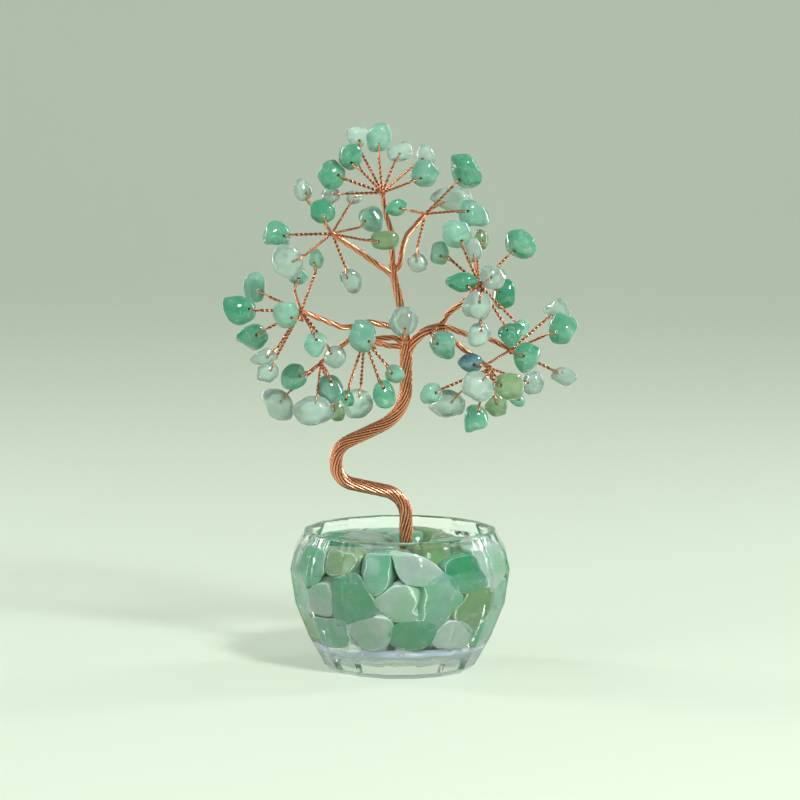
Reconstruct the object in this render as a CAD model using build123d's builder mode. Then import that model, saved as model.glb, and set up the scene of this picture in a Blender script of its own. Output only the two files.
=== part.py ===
from build123d import *
from dataclasses import dataclass
from math import atan, atan2, cos, degrees, hypot, pi, radians, sin
import os
import random

os.makedirs("parts", exist_ok=True)

# Gemstone tree: a faceted glass bowl full of tumbled stones holds a tree of twisted copper wire,
# whose boughs carry drilled stone chips. Millimetres, +Z up, origin at the middle of the bowl's base.

# Glass bowl
bowl_height = 35.0
bowl_base_radius = 18.5
bowl_belly_radius = 28.0
bowl_belly_height = 25.5
bowl_rim_radius = 23.8
bowl_wall = 2.5
bowl_floor = 6.2
bowl_facets = 16
base_bevel = 1.2

# Clear glue that holds the trunk's foot on the bowl's floor
glue_depth = 2.0
glue_clearance = 0.15

# Loose stones in the bowl
stone_drop = 3.5
stone_pitch = 9.0
stone_layer = 7.8
stone_gap = 0.25
stone_jitter = 1.8

# Twisted copper wire
trunk_radius = 1.75
trunk_taper = 0.15
trunk_lobes = 6
trunk_pitch = 36.0
leader_step = 0.5
leader_taper = 0.3
limb_radius = 1.1
limb_lobes = 3
limb_pitch = 36.0
limb_seat_gap = 0.05
strand_groove = 0.14
section_turn_share = 0.46
bough_radius = 0.78
bough_sides = 6
bough_root = 0.9
fork_clearance = 0.25
twig_radius = 0.45
loop_wire = 0.4
knot_radius = 1.1
knot_length = 2.4

# Drilled stone chips
chip_corners = 6
chip_roughness = 0.09
chip_tilt = 18.0
chip_swing_step = 2.1
chip_lean_step = 1.7
chip_corner_step = 2.6
chip_thickness_share = 0.5
chip_least_thickness = 2.2
chip_bevel_share = 0.5
chip_rim_share = 0.12
drill_radius = 0.5
drill_inset = 1.35
loop_clearance = 0.3
twig_gap = 1.7

# Sizes that follow from those
soil = bowl_height - stone_drop
glue_top = bowl_floor + glue_depth
leader_radius = trunk_radius - leader_step


def outer_radius(height):
    """Bowl's outline: a quarter sine up to the belly, then a quarter sine in to the rim"""
    if height <= bowl_belly_height:
        swell = sin(pi / 2 * height / bowl_belly_height)
        return bowl_base_radius + (bowl_belly_radius - bowl_base_radius) * swell
    turn = cos(pi / 2 * (height - bowl_belly_height) / (bowl_height - bowl_belly_height))
    return bowl_rim_radius + (bowl_belly_radius - bowl_rim_radius) * turn


def inner_radius(height):
    return outer_radius(height) - bowl_wall


def steps(low, high, count):
    return [low + (high - low) * k / count for k in range(count + 1)]


# Bowl: sixteen soft panels outside, the same panels inside, a thick clear floor
outer_levels = steps(base_bevel, bowl_belly_height, 4) + steps(bowl_belly_height, bowl_height, 3)[1:]
inner_levels = steps(bowl_floor, bowl_belly_height, 3) + steps(bowl_belly_height, bowl_height, 3)[1:]
half_panel = 180 / bowl_facets

with BuildPart() as glass_bowl:
    with BuildSketch(Plane.XY):
        RegularPolygon(outer_radius(base_bevel) - base_bevel, bowl_facets, rotation=half_panel)
    for level in outer_levels:
        with BuildSketch(Plane.XY.offset(level)):
            RegularPolygon(outer_radius(level), bowl_facets, rotation=half_panel)
    loft(ruled=True)
    for level in inner_levels:
        with BuildSketch(Plane.XY.offset(level)):
            RegularPolygon(inner_radius(level), bowl_facets, rotation=half_panel)
    loft(ruled=True, mode=Mode.SUBTRACT)
glass_bowl.part.label = "glass_bowl"
export_step(glass_bowl.part, "parts/glass_bowl.step")


def lobed_outline(radius, lobes):
    """Corners of a bundle of strands: a ridge for each strand and a groove between two"""
    outline = []
    for k in range(2 * lobes):
        reach = radius if k % 2 == 0 else radius * (1 - strand_groove)
        outline.append((reach * cos(pi * k / lobes), reach * sin(pi * k / lobes)))
    return outline


def station(route, place, twist=0.0):
    """Plane square to a route at this distance along it, turned by the twist"""
    along = place / route.length
    heading = route % along
    sideways = heading.cross(Vector(0, 1, 0)).rotate(Axis((0, 0, 0), heading), twist)
    return Plane(origin=route @ along, x_dir=sideways, z_dir=heading)


def twisted_bundle(route, radius, tip_radius, lobes, pitch, straight=0.0):
    """Strands twisted together along a route, straight at first and thinner towards the tip"""
    turn_step = section_turn_share * 180 / lobes
    count = round((route.length - straight) / pitch * 360 / turn_step)
    places = steps(straight, route.length, count)
    if straight:
        places = [0.0] + places
    with BuildPart() as bundle:
        for place in places:
            size = radius + (tip_radius - radius) * place / route.length
            with BuildSketch(station(route, place, 360 * max(0.0, place - straight) / pitch)):
                Polygon(*lobed_outline(size, lobes), align=None)
        loft(ruled=True, clean=False)
    return bundle.part


def bent_bundle(points):
    """A bough's few wires drawn as one bar with finger-bent corners"""
    with BuildPart() as bar:
        with BuildLine() as route:
            Polyline(*points)
        with BuildSketch(station(route.wire(), 0)):
            RegularPolygon(bough_radius, bough_sides)
        sweep(transition=Transition.RIGHT)
    return bar.part


# Trunk: rises from the glue, swings out to the left above the bowl and comes back under the crown
trunk_x = 1.5
fork_height = soil + 51.0
trunk_points = [
    (trunk_x, 0, glue_top - glue_depth / 2),
    (trunk_x, 0, soil + 12.0),
    (-16.0, 0, soil + 15.7),
    (-16.0, 0, soil + 24.1),
    (trunk_x, 0, soil + 32.4),
    (trunk_x, 0, fork_height),
]
trunk_bends = [6.5, 5.4, 5.4, 11.0]
with BuildLine() as trunk_route:
    FilletPolyline(*trunk_points, radius=trunk_bends)
buried = soil - trunk_points[0][2]

with BuildPart() as trunk:
    top_radius = trunk_radius - trunk_taper
    add(twisted_bundle(trunk_route.wire(), trunk_radius, top_radius, trunk_lobes, trunk_pitch, buried))
trunk.part.label = "trunk"
export_step(trunk.part, "parts/trunk.step")

# Glue bed: a clear disc on the bowl's floor with the socket of the trunk's foot
with BuildPart() as glue_bed:
    with BuildSketch(Plane.XY.offset(bowl_floor)):
        RegularPolygon(inner_radius(bowl_floor) - glue_clearance, bowl_facets, rotation=half_panel)
    extrude(amount=glue_depth)
    with BuildSketch(Plane.XY.offset(glue_top - glue_depth / 2)):
        with Locations((trunk_x, 0)):
            RegularPolygon(trunk_radius + glue_clearance, 2 * trunk_lobes)
    extrude(amount=glue_depth, mode=Mode.SUBTRACT)
glue_bed.part.label = "glue_bed"
export_step(glue_bed.part, "parts/glue_bed.step")

# Leader: the part of the trunk that goes on up to the top boughs
leader_top = (-1.9, 0, fork_height + 19.0)
with BuildLine() as leader_route:
    Spline(
        (trunk_x, 0, fork_height),
        (-0.1, 0, fork_height + 9.8),
        (-1.4, 0, fork_height + 15.4),
        leader_top,
        tangents=[(0, 0, 1), (0, 0, 1)],
    )
with BuildPart() as leader:
    tip_radius = leader_radius - leader_taper
    add(twisted_bundle(leader_route.wire(), leader_radius, tip_radius, limb_lobes, limb_pitch))
leader.part.label = "leader"
export_step(leader.part, "parts/leader.step")

# Right limb: leaves the trunk at the fork and ends in the round crotch that three boughs turn on
crotch_x = 11.0
crotch_height = fork_height + 3.65
crotch_rise = 1.1
with BuildLine() as limb_route:
    Spline((trunk_x, 0, fork_height - 1.5), (6.1, 0, fork_height + 2.5), (crotch_x, 0, crotch_height))
with BuildPart() as right_limb:
    add(twisted_bundle(limb_route.wire(), limb_radius, limb_radius, limb_lobes, limb_pitch))
    with BuildSketch(Plane.XY.offset(crotch_height - crotch_rise)):
        with Locations((crotch_x, 0)):
            Circle(limb_radius)
    extrude(amount=2 * crotch_rise)
    with BuildSketch(Plane.XY.offset(fork_height)):
        with Locations((trunk_x, 0)):
            Circle(trunk_radius + limb_seat_gap)
    extrude(amount=limb_pitch / 2, both=True, mode=Mode.SUBTRACT)
right_limb.part.label = "right_limb"
export_step(right_limb.part, "parts/right_limb.step")


@dataclass
class Chip:
    """One drilled chip: where its middle lies from the knot, how wide and high it is, and its tint"""
    right: float
    back: float
    up: float
    wide: float
    high: float
    tint: str

    def settle(self, knot, number):
        """Work out the chip's face, its drilled end and the wire loop that holds it"""
        self.number = number
        self.knot = Vector(*knot)
        spot = self.knot + Vector(self.right, self.back, self.up)
        swing = radians(chip_tilt * sin(chip_swing_step * number))
        lean = radians(chip_tilt * cos(chip_lean_step * number))
        facing = (sin(swing) * cos(lean), -cos(swing) * cos(lean), sin(lean))
        self.plane = Plane(origin=spot, x_dir=(cos(swing), sin(swing), 0), z_dir=facing)
        inward = self.plane.to_local_coords(self.knot)
        self.angle = atan2(inward.Y, inward.X)
        self.edge = self.side_distance()
        smaller = min(self.wide, self.high)
        self.half_thick = max(chip_least_thickness, chip_thickness_share * smaller) / 2
        self.bevel = chip_bevel_share * smaller / 2
        self.hole_rise = self.half_thick * min(1, drill_inset / self.bevel)
        self.tip = self.point(self.edge + twig_gap)

    def outline_radius(self, angle):
        return 1 / hypot(cos(angle) / (self.wide / 2), sin(angle) / (self.high / 2))

    def side_distance(self):
        """From the chip's centre to the middle of the side that faces the knot"""
        half_side = pi / chip_corners
        one = self.outline_radius(self.angle - half_side)
        other = self.outline_radius(self.angle + half_side)
        return 2 * one * other * cos(half_side) / (one + other)

    def point(self, reach):
        """Point on the chip's middle plane, this far from its centre towards the knot"""
        return self.plane.from_local_coords(Vector(reach * cos(self.angle), reach * sin(self.angle), 0))

    def corners(self):
        """Irregular outline whose first and last corners end the drilled side"""
        outline = []
        for k in range(chip_corners):
            angle = self.angle + 2 * pi * (k + 0.5) / chip_corners
            rough = 1 + chip_roughness * sin(chip_corner_step * k * self.number) if 0 < k < chip_corners - 1 else 1
            reach = self.outline_radius(angle) * rough
            outline.append((reach * cos(angle), reach * sin(angle)))
        return outline


def chip_stone(chip):
    """Tumbled chip: both faces bevelled to a thin edge, drilled near the end that faces its twig"""
    with BuildPart() as stone:
        with BuildSketch(chip.plane):
            Polygon(*chip.corners(), align=None)
        extrude(amount=chip.half_thick, both=True)
        for face in stone.faces().filter_by(chip.plane):
            slope = degrees(atan(chip.half_thick * (1 - chip_rim_share) / chip.bevel))
            chamfer(face.edges(), length=chip.bevel, angle=slope, reference=face)
        reach = chip.edge - drill_inset
        with BuildSketch(chip.plane):
            with Locations((reach * cos(chip.angle), reach * sin(chip.angle))):
                RegularPolygon(drill_radius, 6)
        extrude(amount=chip.half_thick, both=True, mode=Mode.SUBTRACT)
    return stone.part


def chip_wire(chip):
    """Twig from the knot, and the loop at its tip: two legs and the pin through the chip's hole"""
    reach = twig_gap + drill_inset
    rise = chip.hole_rise + loop_wire / 2 + loop_clearance
    inscribed = reach * rise / (hypot(reach, rise) + rise)
    middle = reach - inscribed
    corners = [(0, 0), (reach, rise), (reach, -rise)]
    onward = (chip.point(0) - chip.tip).normalized()
    across = chip.plane.z_dir.cross(onward)
    twig = chip.tip - chip.knot
    with BuildPart() as wire:
        with BuildSketch(Plane(origin=chip.tip, x_dir=onward, z_dir=across)):
            for side, mode in ((1, Mode.ADD), (-1, Mode.SUBTRACT)):
                grow = 1 + side * loop_wire / 2 / inscribed
                Polygon(*[(middle + (x - middle) * grow, y * grow) for x, y in corners], align=None, mode=mode)
        extrude(amount=loop_wire / 2, both=True)
        with BuildSketch(Plane(origin=chip.knot, z_dir=twig)):
            RegularPolygon(twig_radius, 3)
        extrude(amount=twig.length)
    return wire.part


def write_chips(prefix, chips):
    """One node for the chips of each tint"""
    for tint in sorted({chip.tint for chip in chips}):
        with BuildPart() as group:
            add([chip_stone(chip) for chip in chips if chip.tint == tint])
        name = f"{prefix}_{tint}_chips"
        group.part.label = name
        export_step(group.part, f"parts/{name}.step")


def write_bough(name, pivot_x, carrier_radius, root, points, chips):
    """A bough's wires from its fork to the knot, the twigs that leave the knot, and its chips"""
    route_points = [(x, y, soil + height) for x, y, height in points]
    root_height = route_points[0][2]
    if root:
        route_points[0] = (pivot_x, 0, root_height + root)
    knot = route_points[-1]
    heading = (Vector(*knot) - Vector(*route_points[-2])).normalized()
    for number, chip in enumerate(chips, start=1):
        chip.settle(knot, number)
    with BuildPart() as wires:
        add(bent_bundle(route_points))
        if root:
            with BuildSketch(Plane.XY.offset(root_height)):
                with Locations((pivot_x, 0)):
                    Circle(bough_radius)
            extrude(amount=root)
        else:
            with BuildSketch(Plane.XY.offset(root_height)):
                with Locations((pivot_x, 0)):
                    Circle(carrier_radius + fork_clearance)
            extrude(amount=4 * bough_radius, both=True, mode=Mode.SUBTRACT)
        with BuildSketch(Plane(origin=Vector(*knot) - heading * (knot_length / 2), z_dir=heading)):
            RegularPolygon(knot_radius, bough_sides)
        extrude(amount=knot_length)
        add([chip_wire(chip) for chip in chips])
    wires.part.label = f"{name}_wires"
    export_step(wires.part, f"parts/{name}_wires.step")
    write_chips(name, chips)


# Top bough: turns on the leader's tip and fans out above the crown
write_bough(
    "top", leader_top[0], leader_radius, bough_root,
    [(-1.9, 0, 70.25), (-2.1, 0, 78.3), (-3.4, 0, 82.1), (-4.4, 0, 88.0)],
    [
        Chip(-6.5, 8, 13.6, 5.8, 6, "clear"),
        Chip(-8, -5, 9.7, 6.3, 7.5, "green"),
        Chip(-1, 1, 14, 6, 8.5, "mint"),
        Chip(4.3, 4, 10, 7.5, 5, "clear"),
        Chip(11, 9, 8.5, 4.5, 6, "clear"),
        Chip(10.8, -6, 5.3, 6.8, 6.8, "mint"),
        Chip(-12.8, -3, 4.8, 7, 7.8, "green"),
        Chip(-13, 3, -0.8, 5.5, 4, "clear"),
    ],
)

# Upper left bough
write_bough(
    "upper_left", -1.5, leader_radius, 0,
    [(-1.5, 0, 67.1), (-6.4, -1, 70.6), (-10.4, -1.8, 73.6), (-16.9, -3, 78)],
    [
        Chip(-14, -3, -0.1, 8, 6.8, "green"),
        Chip(-11, -8, -6, 8, 9.5, "clear"),
        Chip(-2.5, -6, 6.2, 7.5, 5.5, "green"),
        Chip(-7.3, 6, 10.3, 4.8, 6, "clear"),
        Chip(4.5, 3, -12.2, 5.8, 6.5, "clear"),
        Chip(13.3, -5, -1.2, 9.8, 4.5, "olive"),
        Chip(5.5, 11, 8.2, 4.8, 3.4, "clear"),
        Chip(9.8, 9, 3, 6.5, 7, "mint"),
    ],
)

# Upper right bough
write_bough(
    "upper_right", -1.8, leader_radius, 0,
    [(-1.8, 0, 67.8), (-0.1, 0.3, 69.6), (0.5, 1, 73.6), (1.6, 2, 77.1), (6.4, 4, 82.4)],
    [
        Chip(-7.5, -9, 2.5, 5.8, 4.5, "green"),
        Chip(10.3, -3, 10.9, 7.8, 10.8, "green"),
        Chip(6.8, 6, 3.6, 10.5, 6.3, "clear"),
        Chip(12, -3, 0.3, 7.8, 8.5, "mint"),
        Chip(-2, -5, -11.8, 5, 4.5, "clear"),
    ],
)

# Left bough: the longest on that side
write_bough(
    "left", 0.65, leader_radius, 0,
    [(0.65, 0, 53.9), (-7.9, -1, 55.8), (-13.9, -1.8, 54.2), (-24.6, -3, 58.7)],
    [
        Chip(-1, 9, 8.3, 6, 5, "mint"),
        Chip(3.5, 7, 12.6, 4, 6.5, "mint"),
        Chip(-11.8, 4, 5.2, 5, 8.5, "mint"),
        Chip(-15.5, -4, 0.7, 9.3, 7.5, "green"),
        Chip(-12.3, 5, -6.9, 9, 6, "green"),
        Chip(-3.5, -7, 0.1, 5.8, 8.5, "mint"),
        Chip(3.8, -6, -7.9, 6.3, 6, "mint"),
        Chip(8.5, -5, -11, 5.5, 5.8, "clear"),
        Chip(-9, -5, -11, 6.5, 4.5, "clear"),
        Chip(-8.3, 4, -15.9, 6.5, 4.5, "clear"),
    ],
)

# Lower left bough: droops behind the left one
write_bough(
    "lower_left", 1.1, leader_radius, 0,
    [(1.1, 0, 51.9), (-6.4, 2, 51.2), (-12.4, 4.2, 51), (-19.9, 6, 44.6)],
    [
        Chip(-6.8, -6, -2.8, 6.8, 6.5, "green"),
        Chip(-11.3, 3, -10.9, 9.3, 9, "clear"),
        Chip(-1.5, -8, -11.4, 9.8, 7.8, "clear"),
        Chip(2.5, -5, -6, 6.8, 7.5, "mint"),
        Chip(3.8, 5, -13, 4.5, 5, "olive"),
    ],
)

# Inner left bough: short, in front of the trunk
write_bough(
    "inner_left", trunk_x, trunk_radius, 0,
    [(1.5, 0, 49.5), (-2.5, -2.2, 49.8), (-5.5, -4.4, 50.8), (-8.9, -6, 52)],
    [
        Chip(-0.5, -4.5, 1.3, 6.3, 9.5, "mint"),
        Chip(-4.3, 0, -15, 3.4, 4.8, "green"),
        Chip(-1.5, 5, -17, 7, 8, "clear"),
        Chip(5, -2, -13.7, 6, 7.3, "green"),
        Chip(7.5, 0, -8.7, 4.5, 4.5, "mint"),
    ],
)

# Right bough: rises from the top of the limb's crotch
write_bough(
    "right", crotch_x, limb_radius, bough_root,
    [(11, 0, 56), (11.9, -0.8, 57.8), (15.5, -3, 60.7), (19.6, -6, 65.6)],
    [
        Chip(-5.5, -3, 13, 7.8, 7.3, "mint"),
        Chip(-10, 3, 7.9, 4.8, 7, "mint"),
        Chip(-1.5, 5, 8.4, 3.8, 9.5, "clear"),
        Chip(0.8, 10, 10.4, 3.5, 6, "olive"),
        Chip(10.5, 4, 9.6, 7.8, 7.3, "green"),
        Chip(-4.3, -6, 1.5, 8.3, 5.3, "green"),
        Chip(3.5, -5, 2.9, 7, 7, "clear"),
        Chip(6.5, 6, -3, 6, 7.3, "green"),
        Chip(-0.5, -6.5, -4.8, 7.5, 8, "clear"),
        Chip(0, -3, -12.2, 5.5, 6.5, "clear"),
        Chip(7.8, -2, -12.3, 6.8, 5.5, "green"),
        Chip(10.8, 5, -11.6, 4, 5, "mint"),
    ],
)

# Far right bough: carries on where the limb ends
write_bough(
    "far_right", crotch_x, limb_radius, 0,
    [(11, 0, 54.5), (16.6, 2.2, 52.2), (22.1, 4.8, 51), (27.9, 7, 47.8)],
    [
        Chip(3.8, -7, -0.6, 6.3, 8, "green"),
        Chip(11.8, 3, 9.5, 7, 6.3, "clear"),
        Chip(13, -5, 5.9, 7.8, 7.8, "green"),
        Chip(13.5, 2, -6.8, 7.5, 4.5, "clear"),
        Chip(-10.3, -11, -1.9, 6.8, 4.5, "teal"),
    ],
)

# Lower right bough: hangs from the underside of the crotch
write_bough(
    "lower_right", crotch_x, limb_radius, -bough_root,
    [(11, 0, 53.3), (12.6, 0, 51.4), (16, 0.6, 48.6), (22.6, 1, 43.8)],
    [
        Chip(-15, -4, -5.8, 6, 5.3, "mint"),
        Chip(-10.8, 6, -9.9, 9.3, 8, "clear"),
        Chip(-3.3, -10, -3.4, 7.5, 8, "clear"),
        Chip(-3.8, -3, -12.3, 6.8, 7, "green"),
        Chip(4.5, -7, -3.6, 8.3, 6.5, "olive"),
        Chip(1.8, 3, -9.7, 6, 5.3, "olive"),
        Chip(6.8, 0, -8.2, 4.5, 3.4, "green"),
        Chip(10.8, 5, -4.7, 5.5, 6.3, "clear"),
    ],
)

# Two chips wired straight to the trunk's fork and to the limb
fork_chip = Chip(-0.6, -5, 6.2, 6.5, 8.5, "clear")
limb_chip = Chip(1.5, -4.2, -4, 6.8, 7.8, "mint")
fork_chip.settle((trunk_x, -trunk_radius - loop_wire, fork_height - 0.5), number=3)
limb_chip.settle((crotch_x - 1.6, -limb_radius - loop_wire, crotch_height - 0.3), number=2)
for name, chip in (("fork", fork_chip), ("limb", limb_chip)):
    with BuildPart() as twig:
        add(chip_wire(chip))
    twig.part.label = f"{name}_twig"
    export_step(twig.part, f"parts/{name}_twig.step")
    write_chips(name, [chip])


def wall_planes():
    """Panels of the bowl's inside, set in by the gap that loose stones leave"""
    planes = []
    for low, high in zip(inner_levels, inner_levels[1:]):
        flat = cos(pi / bowl_facets)
        rise = high - low
        spread = (inner_radius(high) - inner_radius(low)) * flat
        for k in range(bowl_facets):
            turn = 2 * pi * k / bowl_facets
            outward = Vector(rise * cos(turn), rise * sin(turn), -spread).normalized()
            foot = Vector(inner_radius(low) * flat * cos(turn), inner_radius(low) * flat * sin(turn), low)
            planes.append(Plane(origin=foot - outward * stone_gap, z_dir=outward))
    return planes


def stone_seeds(rng):
    """Middles of the loose stones: rings that follow the wall, layer upon layer, clear of the trunk"""
    stone_layers = max(1, round((soil - glue_top) / stone_layer))
    layer_height = (soil - glue_top) / stone_layers
    seeds = []
    for layer in range(stone_layers):
        height = glue_top + layer_height * (layer + 0.5)
        ring = inner_radius(height) - stone_pitch / 2
        while ring > trunk_radius + stone_pitch / 4:
            count = max(3, round(2 * pi * ring / stone_pitch))
            for k in range(count):
                turn = 2 * pi * (k + layer / 2) / count
                shift = [rng.uniform(-stone_jitter, stone_jitter) for _ in range(3)]
                seeds.append(Vector(ring * cos(turn), ring * sin(turn), height) + Vector(*shift))
            ring -= stone_pitch
    return seeds


def loose_stone(seed, others, walls):
    """Stone pressed among its neighbours, the glass, the glue and the trunk, with a small gap to each"""
    cuts = [Plane(origin=(0, 0, glue_top + stone_gap), z_dir=(0, 0, -1))]
    for other in others:
        away = other - seed
        if 0 < away.length < 2 * stone_pitch:
            heading = away.normalized()
            cuts.append(Plane(origin=seed + heading * (away.length - stone_gap) / 2, z_dir=heading))
    trunk_axis = Vector(trunk_x, 0, seed.Z)
    outward = (seed - trunk_axis).normalized()
    cuts.append(Plane(origin=trunk_axis + outward * (trunk_radius + stone_gap), z_dir=-outward))
    cuts += [wall for wall in walls if -wall.to_local_coords(seed).Z < stone_pitch]
    with BuildPart(Plane(origin=seed)) as stone:
        Box(2 * stone_pitch, 2 * stone_pitch, 2 * stone_pitch)
        for cut in cuts:
            split(bisect_by=cut, keep=Keep.BOTTOM)
    return stone.part


# Loose stones: one node for each tint, dealt out in a fixed order
rng = random.Random(11)
seeds = stone_seeds(rng)
sky = []
for seed in seeds:
    if seed.Z > soil - stone_pitch:
        above = Vector(seed.X, seed.Y, 2 * soil - seed.Z)
        sky.append(above + Vector(*[rng.uniform(-2 * stone_jitter, 2 * stone_jitter) for _ in range(3)]))
walls = wall_planes()
tints = ["mint", "clear", "green", "clear", "mint", "olive"]
dealt = {tint: [] for tint in sorted(set(tints))}
for number, seed in enumerate(seeds):
    dealt[tints[number * 5 % len(tints)]].append(loose_stone(seed, seeds + sky, walls))
for tint, stones in dealt.items():
    with BuildPart() as gravel:
        add(stones)
    gravel.part.label = f"bowl_{tint}_stones"
    export_step(gravel.part, f"parts/bowl_{tint}_stones.step")
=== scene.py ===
"""Gemstone tree ornament: a faceted glass bowl of tumbled stones holds a tree of twisted copper wire
whose boughs carry drilled stone chips on wire loops.

Metres, +Z up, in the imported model's own frame. Every piece keeps its place in its mesh.
"""
import math
import random
from dataclasses import dataclass

import bmesh
import bpy
from bpy.props import FloatProperty, FloatVectorProperty, IntProperty, PointerProperty
from bpy.types import Operator, Panel, PropertyGroup
from mathutils import Matrix, Vector, noise
from mathutils.geometry import interpolate_bezier
from mathutils.kdtree import KDTree


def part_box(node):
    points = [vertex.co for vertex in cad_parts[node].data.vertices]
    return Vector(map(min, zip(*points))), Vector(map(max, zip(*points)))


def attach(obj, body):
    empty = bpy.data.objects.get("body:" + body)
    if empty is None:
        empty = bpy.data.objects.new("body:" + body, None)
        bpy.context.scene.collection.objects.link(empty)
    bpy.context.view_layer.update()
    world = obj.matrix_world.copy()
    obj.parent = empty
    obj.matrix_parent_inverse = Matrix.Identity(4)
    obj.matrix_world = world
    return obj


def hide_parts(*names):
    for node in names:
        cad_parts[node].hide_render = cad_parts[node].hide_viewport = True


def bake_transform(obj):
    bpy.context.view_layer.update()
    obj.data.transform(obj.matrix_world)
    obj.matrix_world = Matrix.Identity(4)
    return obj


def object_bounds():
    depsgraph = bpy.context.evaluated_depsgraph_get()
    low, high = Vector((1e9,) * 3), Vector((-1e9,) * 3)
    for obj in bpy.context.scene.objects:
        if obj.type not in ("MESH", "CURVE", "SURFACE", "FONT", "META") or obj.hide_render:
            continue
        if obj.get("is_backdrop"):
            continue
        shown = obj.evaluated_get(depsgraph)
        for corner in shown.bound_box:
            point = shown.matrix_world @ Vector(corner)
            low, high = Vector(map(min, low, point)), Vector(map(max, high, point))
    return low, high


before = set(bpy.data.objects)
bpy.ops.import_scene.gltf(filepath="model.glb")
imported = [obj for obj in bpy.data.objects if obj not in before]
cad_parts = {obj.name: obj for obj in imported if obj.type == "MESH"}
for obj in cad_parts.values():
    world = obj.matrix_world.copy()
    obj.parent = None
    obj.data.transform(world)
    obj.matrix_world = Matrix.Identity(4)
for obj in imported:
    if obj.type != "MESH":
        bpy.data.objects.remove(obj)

bl_info = {
    "name": "Gemstone tree ornament",
    "version": (1, 0, 0),
    "blender": (4, 5, 0),
    "location": "3D View > Sidebar > Gemstone tree",
    "description": "Builds a copper wire tree with stone chips in a glass bowl of tumbled stones",
    "category": "Object",
}

MM = 0.001
# Points closer than this, in metres, are one point
WELD = 1e-6
# Faces that meet at less than this are one flat face
FLAT = math.radians(3)
# Spacing of the points along a bundle of wires
WIRE_STEP = 0.5 * MM
# Rings between the flats of the glass, the rounding of its floor, and the dents in a tumbled stone
FACET_HEIGHTS = (0.0085, 0.017)
SHOULDER_HEIGHT = 0.0297
FLOOR_ROUND = 0.0012
DENTS_PER_METRE = 330
DENT_MM = 0.3
UP = Vector((0, 0, 1))
FRAME_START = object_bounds()
BOWL_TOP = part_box("glass_bowl")[1][2]

# Routes of the wire, in millimetres: right, back, and height above the bowl's stones
SOIL = 31.5
TRUNK_ROUTE = ((1.5, 0, -24.3), (1.5, 0, 12), (-16, 0, 15.7), (-16, 0, 24.1), (1.5, 0, 32.4), (1.5, 0, 51))
TRUNK_BENDS = (6.5, 5.4, 5.4, 11)
LEADER_ROUTE = ((1.5, 0, 45), (1.5, 0, 51), (-0.1, 0, 60.8), (-1.4, 0, 66.4), (-1.9, 0, 70.2))
LIMB_ROUTE = ((1.5, 0, 41), (1.9, 0, 49), (6.1, 0, 53.5), (11, 0, 54.6))
FORK_KNOT = (1.5, -2.15, 50.5)
LIMB_KNOT = (9.4, -1.5, 54.35)

TINTS = ("clear", "mint", "green", "olive", "teal")
SLOTS = {
    "clear": "pale_quartz",
    "mint": "mint_aventurine",
    "green": "green_aventurine",
    "olive": "olive_aventurine",
    "teal": "teal_apatite",
}


@dataclass
class Bough:
    """A bough's wires: the stretch hidden in the wire that carries it, then its route out to the knot"""
    name: str
    lead: tuple
    route: tuple
    level: bool = True

    @property
    def body(self):
        return f"{self.name}_bough"

    def points(self):
        return [above_soil(*spot) for spot in self.lead + self.route]

    def knot(self):
        return above_soil(*self.route[-1])


BOUGHS = (
    Bough("top", ((-0.6, 0, 63), (-1.4, 0, 66.4)),
          ((-1.9, 0, 70.25), (-2.1, 0, 78.3), (-3.4, 0, 82.1), (-4.4, 0, 88)), level=False),
    Bough("upper_left", ((-0.1, 0, 61),),
          ((-1.5, 0, 67.1), (-6.4, -1, 70.6), (-10.4, -1.8, 73.6), (-16.9, -3, 78))),
    Bough("upper_right", ((-0.5, 0, 62),),
          ((-1.8, 0, 67.8), (-0.1, 0.3, 69.6), (0.5, 1, 73.6), (1.6, 2, 77.1), (6.4, 4, 82.4))),
    Bough("left", ((1.5, 0, 45.5),),
          ((0.65, 0, 53.9), (-7.9, -1, 55.8), (-13.9, -1.8, 54.2), (-24.6, -3, 58.7))),
    Bough("lower_left", ((1.5, 0, 44),),
          ((1.1, 0, 51.9), (-6.4, 2, 51.2), (-12.4, 4.2, 51), (-19.9, 6, 44.6))),
    Bough("inner_left", ((1.5, 0, 42),),
          ((1.5, 0, 49.5), (-2.5, -2.2, 49.8), (-5.5, -4.4, 50.8), (-8.9, -6, 52))),
    Bough("right", ((6.1, 0, 53.5), (9.8, 0, 54.5)),
          ((11, 0, 56), (11.9, -0.8, 57.8), (15.5, -3, 60.7), (19.6, -6, 65.6)), level=False),
    Bough("far_right", ((6.1, 0, 53.5),),
          ((11, 0, 54.6), (16.6, 2.2, 52.2), (22.1, 4.8, 51), (27.9, 7, 47.8))),
    Bough("lower_right", ((6.1, 0, 53.5), (9.8, 0, 54.4)),
          ((11, 0, 53.3), (12.6, 0, 51.4), (16, 0.6, 48.6), (22.6, 1, 43.8)), level=False),
)


# Settings

def length(name, description, default):
    return FloatProperty(name=name, description=description, default=default, min=0, unit="LENGTH",
                         precision=5)


def colour(name, description, default):
    return FloatVectorProperty(name=name, description=description, default=default, subtype="COLOR",
                               min=0, max=1)


def power(name, description, default):
    return FloatProperty(name=name, description=description, default=default, unit="POWER")


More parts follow.
